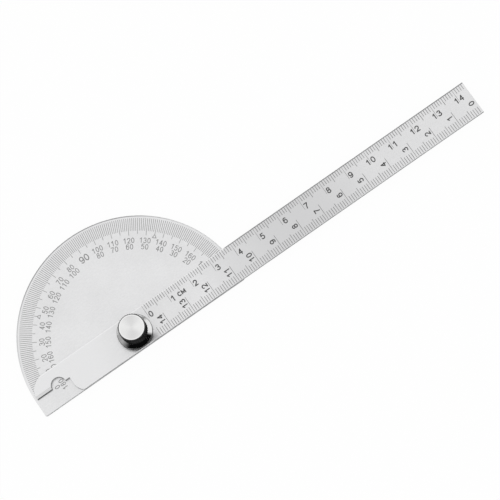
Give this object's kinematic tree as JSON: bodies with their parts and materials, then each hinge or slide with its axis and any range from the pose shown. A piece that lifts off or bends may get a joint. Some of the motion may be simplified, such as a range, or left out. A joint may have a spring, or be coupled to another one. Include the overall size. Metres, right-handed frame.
{
  "type": "protractor angle ruler",
  "caption": "Flat half-round steel protractor with a long rule arm that turns about the dial's centre and is clamped by a round knob.",
  "frame": {"origin": "on the arm's pivot axis, in the plane of the flat back", "axes": "+X along the arm to its free end, which lies at 0 degrees on the dial; +Y from the pivot to the top of the arc; +Z from the back to the knob"},
  "size_m": [0.197, 0.0516, 0.0104],
  "materials": {
    "dial": "satin",
    "stud": "turned",
    "arm": "satin, brushed along its length",
    "washer": "polished",
    "knob": "polished, fine straight knurl"
  },
  "bodies": {
    "dial": {"dial_plate": "dial", "pivot_stud": "stud"},
    "arm": {"rule_arm": "arm"},
    "washer": {"cup_washer": "washer"},
    "knob": {"lock_knob": "knob"}
  },
  "joints": [
    {"name": "arm_swing", "type": "hinge", "parent": "dial", "child": "arm", "pos_m": [0, 0, 0.00175], "axis": [0, 0, 1], "continuous": true},
    {"name": "knob_rise", "type": "slide", "parent": "dial", "child": "washer", "axis": [0, 0, 1], "range_m": [0, 0.0014]},
    {"name": "knob_turn", "type": "hinge", "parent": "washer", "child": "knob", "pos_m": [0, 0, 0.00425], "axis": [0, 0, 1], "range_deg": [0, 720]}
  ],
  "couplings": [
    {"joint": "knob_turn", "follows": "knob_rise", "rad_per_m": 8976}
  ]
}
